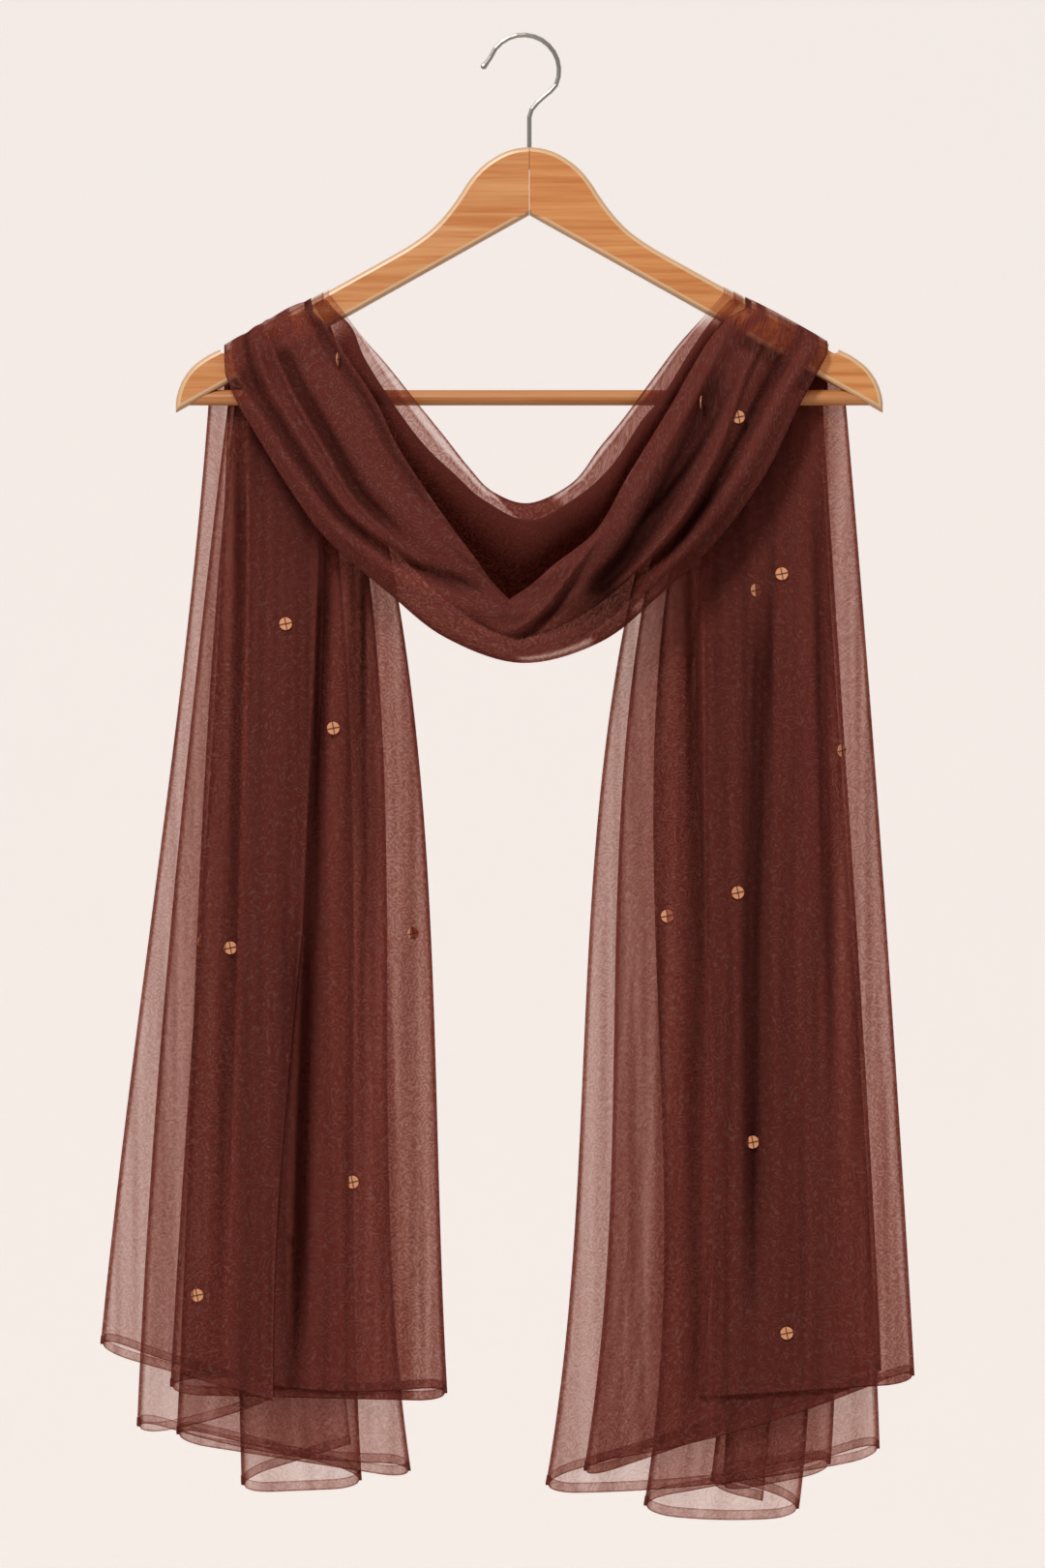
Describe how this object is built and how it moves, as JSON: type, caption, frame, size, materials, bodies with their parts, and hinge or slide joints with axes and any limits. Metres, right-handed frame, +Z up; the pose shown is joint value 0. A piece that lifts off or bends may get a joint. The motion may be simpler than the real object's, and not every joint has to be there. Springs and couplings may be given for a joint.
{
  "type": "dupatta stole on a hanger",
  "caption": "Sheer net stole draped over a wooden trouser hanger: a cowl swag in front and a pleated fall behind each arm.",
  "frame": {"origin": "inner crest of the hook, where a peg or rail carries the hanger", "axes": "+Z up, +X to the viewer's right, +Y away from the viewer through the hanger's thickness"},
  "size_m": [0.516, 0.0925, 0.9375],
  "materials": {
    "wood": "clear-lacquered light wood, satin",
    "wire": "satin nickel-plated wire",
    "net": "sheer chocolate-maroon net, slightly crisp",
    "sequins": "copper-coloured sequins, shiny"
  },
  "bodies": {
    "root": {"hanger_left_half": "wood", "hanger_right_half": "wood", "trouser_bar": "wood", "hook": "wire", "swag_front": "net", "swag_inner": "net", "left_fall_front": "net", "left_fall_back": "net", "right_fall_front": "net", "right_fall_back": "net"}
  },
  "joints": []
}
